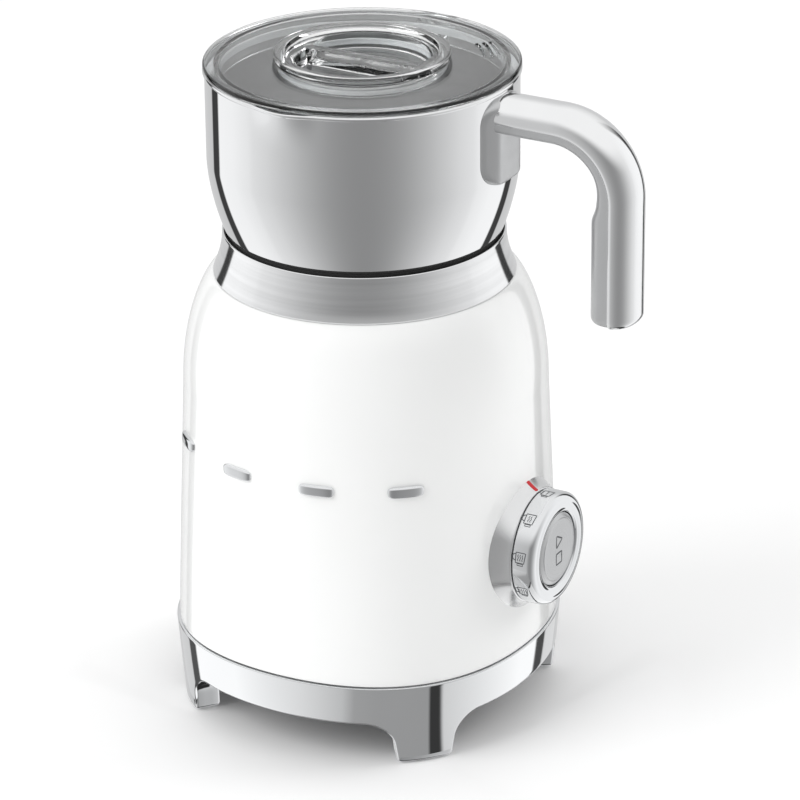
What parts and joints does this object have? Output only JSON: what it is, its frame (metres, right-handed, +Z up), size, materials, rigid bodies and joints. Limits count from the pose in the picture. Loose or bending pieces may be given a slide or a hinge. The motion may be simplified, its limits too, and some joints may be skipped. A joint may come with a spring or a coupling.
{
  "type": "milk frother",
  "caption": "Induction milk frother: a painted power base with a side dial, and a lift-off steel jug with a handle, whisk, clear lid and cap.",
  "frame": {"origin": "on the floor, under the vertical axis of the base, midway between the four foot pads", "axes": "+Z up; the front is at -Y; the handle and the dial are at +X; the cord gland is at +Y"},
  "size_m": [0.1787, 0.1386, 0.2479],
  "materials": {
    "white_paint": "gloss white",
    "chrome_ring": "polished chrome",
    "satin_steel": "satin",
    "mirror_steel": "mirror polished stainless",
    "plain_steel": "plain",
    "grey_plastic": "fine satin",
    "dark_plastic": "fine grain",
    "silver_plastic": "satin silver",
    "clear_plastic": "clear",
    "clear_silicone": "translucent silicone",
    "dark_rubber": "matt",
    "red_mark": "printed red",
    "copper": "enamelled copper",
    "ferrite": "sintered",
    "bronze": "sintered bronze",
    "board_green": "solder mask",
    "capacitor_sleeve": "shrink sleeve",
    "tape_yellow": "polyester tape",
    "aluminium_fin": "extruded"
  },
  "bodies": {
    "base": {"base_ring": "chrome_ring", "foot_pads": "dark_rubber", "floor_plate": "dark_plastic", "floor_screws": "plain_steel", "cord_gland": "dark_rubber", "housing": "white_paint", "front_studs": "chrome_ring", "collar": "satin_steel", "well_plate": "dark_plastic", "induction_coil": "copper", "coil_former": "dark_plastic", "ferrite_bars": "ferrite", "temperature_sensor": "plain_steel", "motor_bracket": "plain_steel", "bracket_screws": "plain_steel", "motor": "plain_steel", "motor_screws": "plain_steel", "motor_bush": "bronze", "fan_frame": "dark_plastic", "fan_screws": "plain_steel", "power_board": "board_green", "board_screws": "plain_steel", "capacitors": "capacitor_sleeve", "heat_sink": "aluminium_fin", "filter_choke": "copper", "transformer": "tape_yellow", "dial_bezel": "silver_plastic", "index_mark": "red_mark", "control_board": "board_green", "encoder_body": "dark_plastic", "start_switch": "dark_plastic"},
    "rotor": {"motor_shaft": "plain_steel", "drive_rotor": "dark_plastic", "drive_magnets": "plain_steel"},
    "fan": {"fan_rotor": "dark_plastic"},
    "dial": {"dial_knob": "chrome_ring"},
    "button": {"start_button": "satin_steel"},
    "jug": {"jug": "mirror_steel", "jug_base_disc": "plain_steel", "whisk_pin": "plain_steel", "handle_bracket": "grey_plastic", "handle_shell": "satin_steel", "handle_liner": "grey_plastic", "handle_screws": "plain_steel"},
    "whisk": {"whisk_hub": "dark_plastic", "whisk_ring": "plain_steel", "whisk_magnets": "plain_steel"},
    "lid": {"lid": "clear_plastic", "lid_seal": "clear_silicone"},
    "cap": {"cap": "clear_plastic", "cap_seal": "clear_silicone"}
  },
  "joints": [
    {"name": "jug_lift", "type": "slide", "parent": "base", "child": "jug", "axis": [0, 0, 1], "range_m": [0, 0.15]},
    {"name": "lid_lift", "type": "slide", "parent": "jug", "child": "lid", "axis": [0, 0, 1], "range_m": [0, 0.06]},
    {"name": "cap_lift", "type": "slide", "parent": "lid", "child": "cap", "axis": [0, 0, 1], "range_m": [0, 0.04]},
    {"name": "rotor_spin", "type": "hinge", "parent": "base", "child": "rotor", "pos_m": [0, 0, 0.152], "axis": [0, 0, 1], "continuous": true},
    {"name": "whisk_spin", "type": "hinge", "parent": "jug", "child": "whisk", "pos_m": [0, 0, 0.182], "axis": [0, 0, 1], "continuous": true},
    {"name": "fan_spin", "type": "hinge", "parent": "base", "child": "fan", "pos_m": [0, 0, 0.027], "axis": [0, 0, 1], "continuous": true},
    {"name": "dial_turn", "type": "hinge", "parent": "base", "child": "dial", "pos_m": [0.0708, 0, 0.0712], "axis": [1, 0, 0], "continuous": true},
    {"name": "button_press", "type": "slide", "parent": "base", "child": "button", "axis": [-1, 0, 0], "range_m": [0, 0.0015], "stiffness_N_per_m": 1500, "springref_m": -0.001}
  ],
  "couplings": [
    {"joint": "whisk_spin", "follows": "rotor_spin", "ratio": 1}
  ]
}
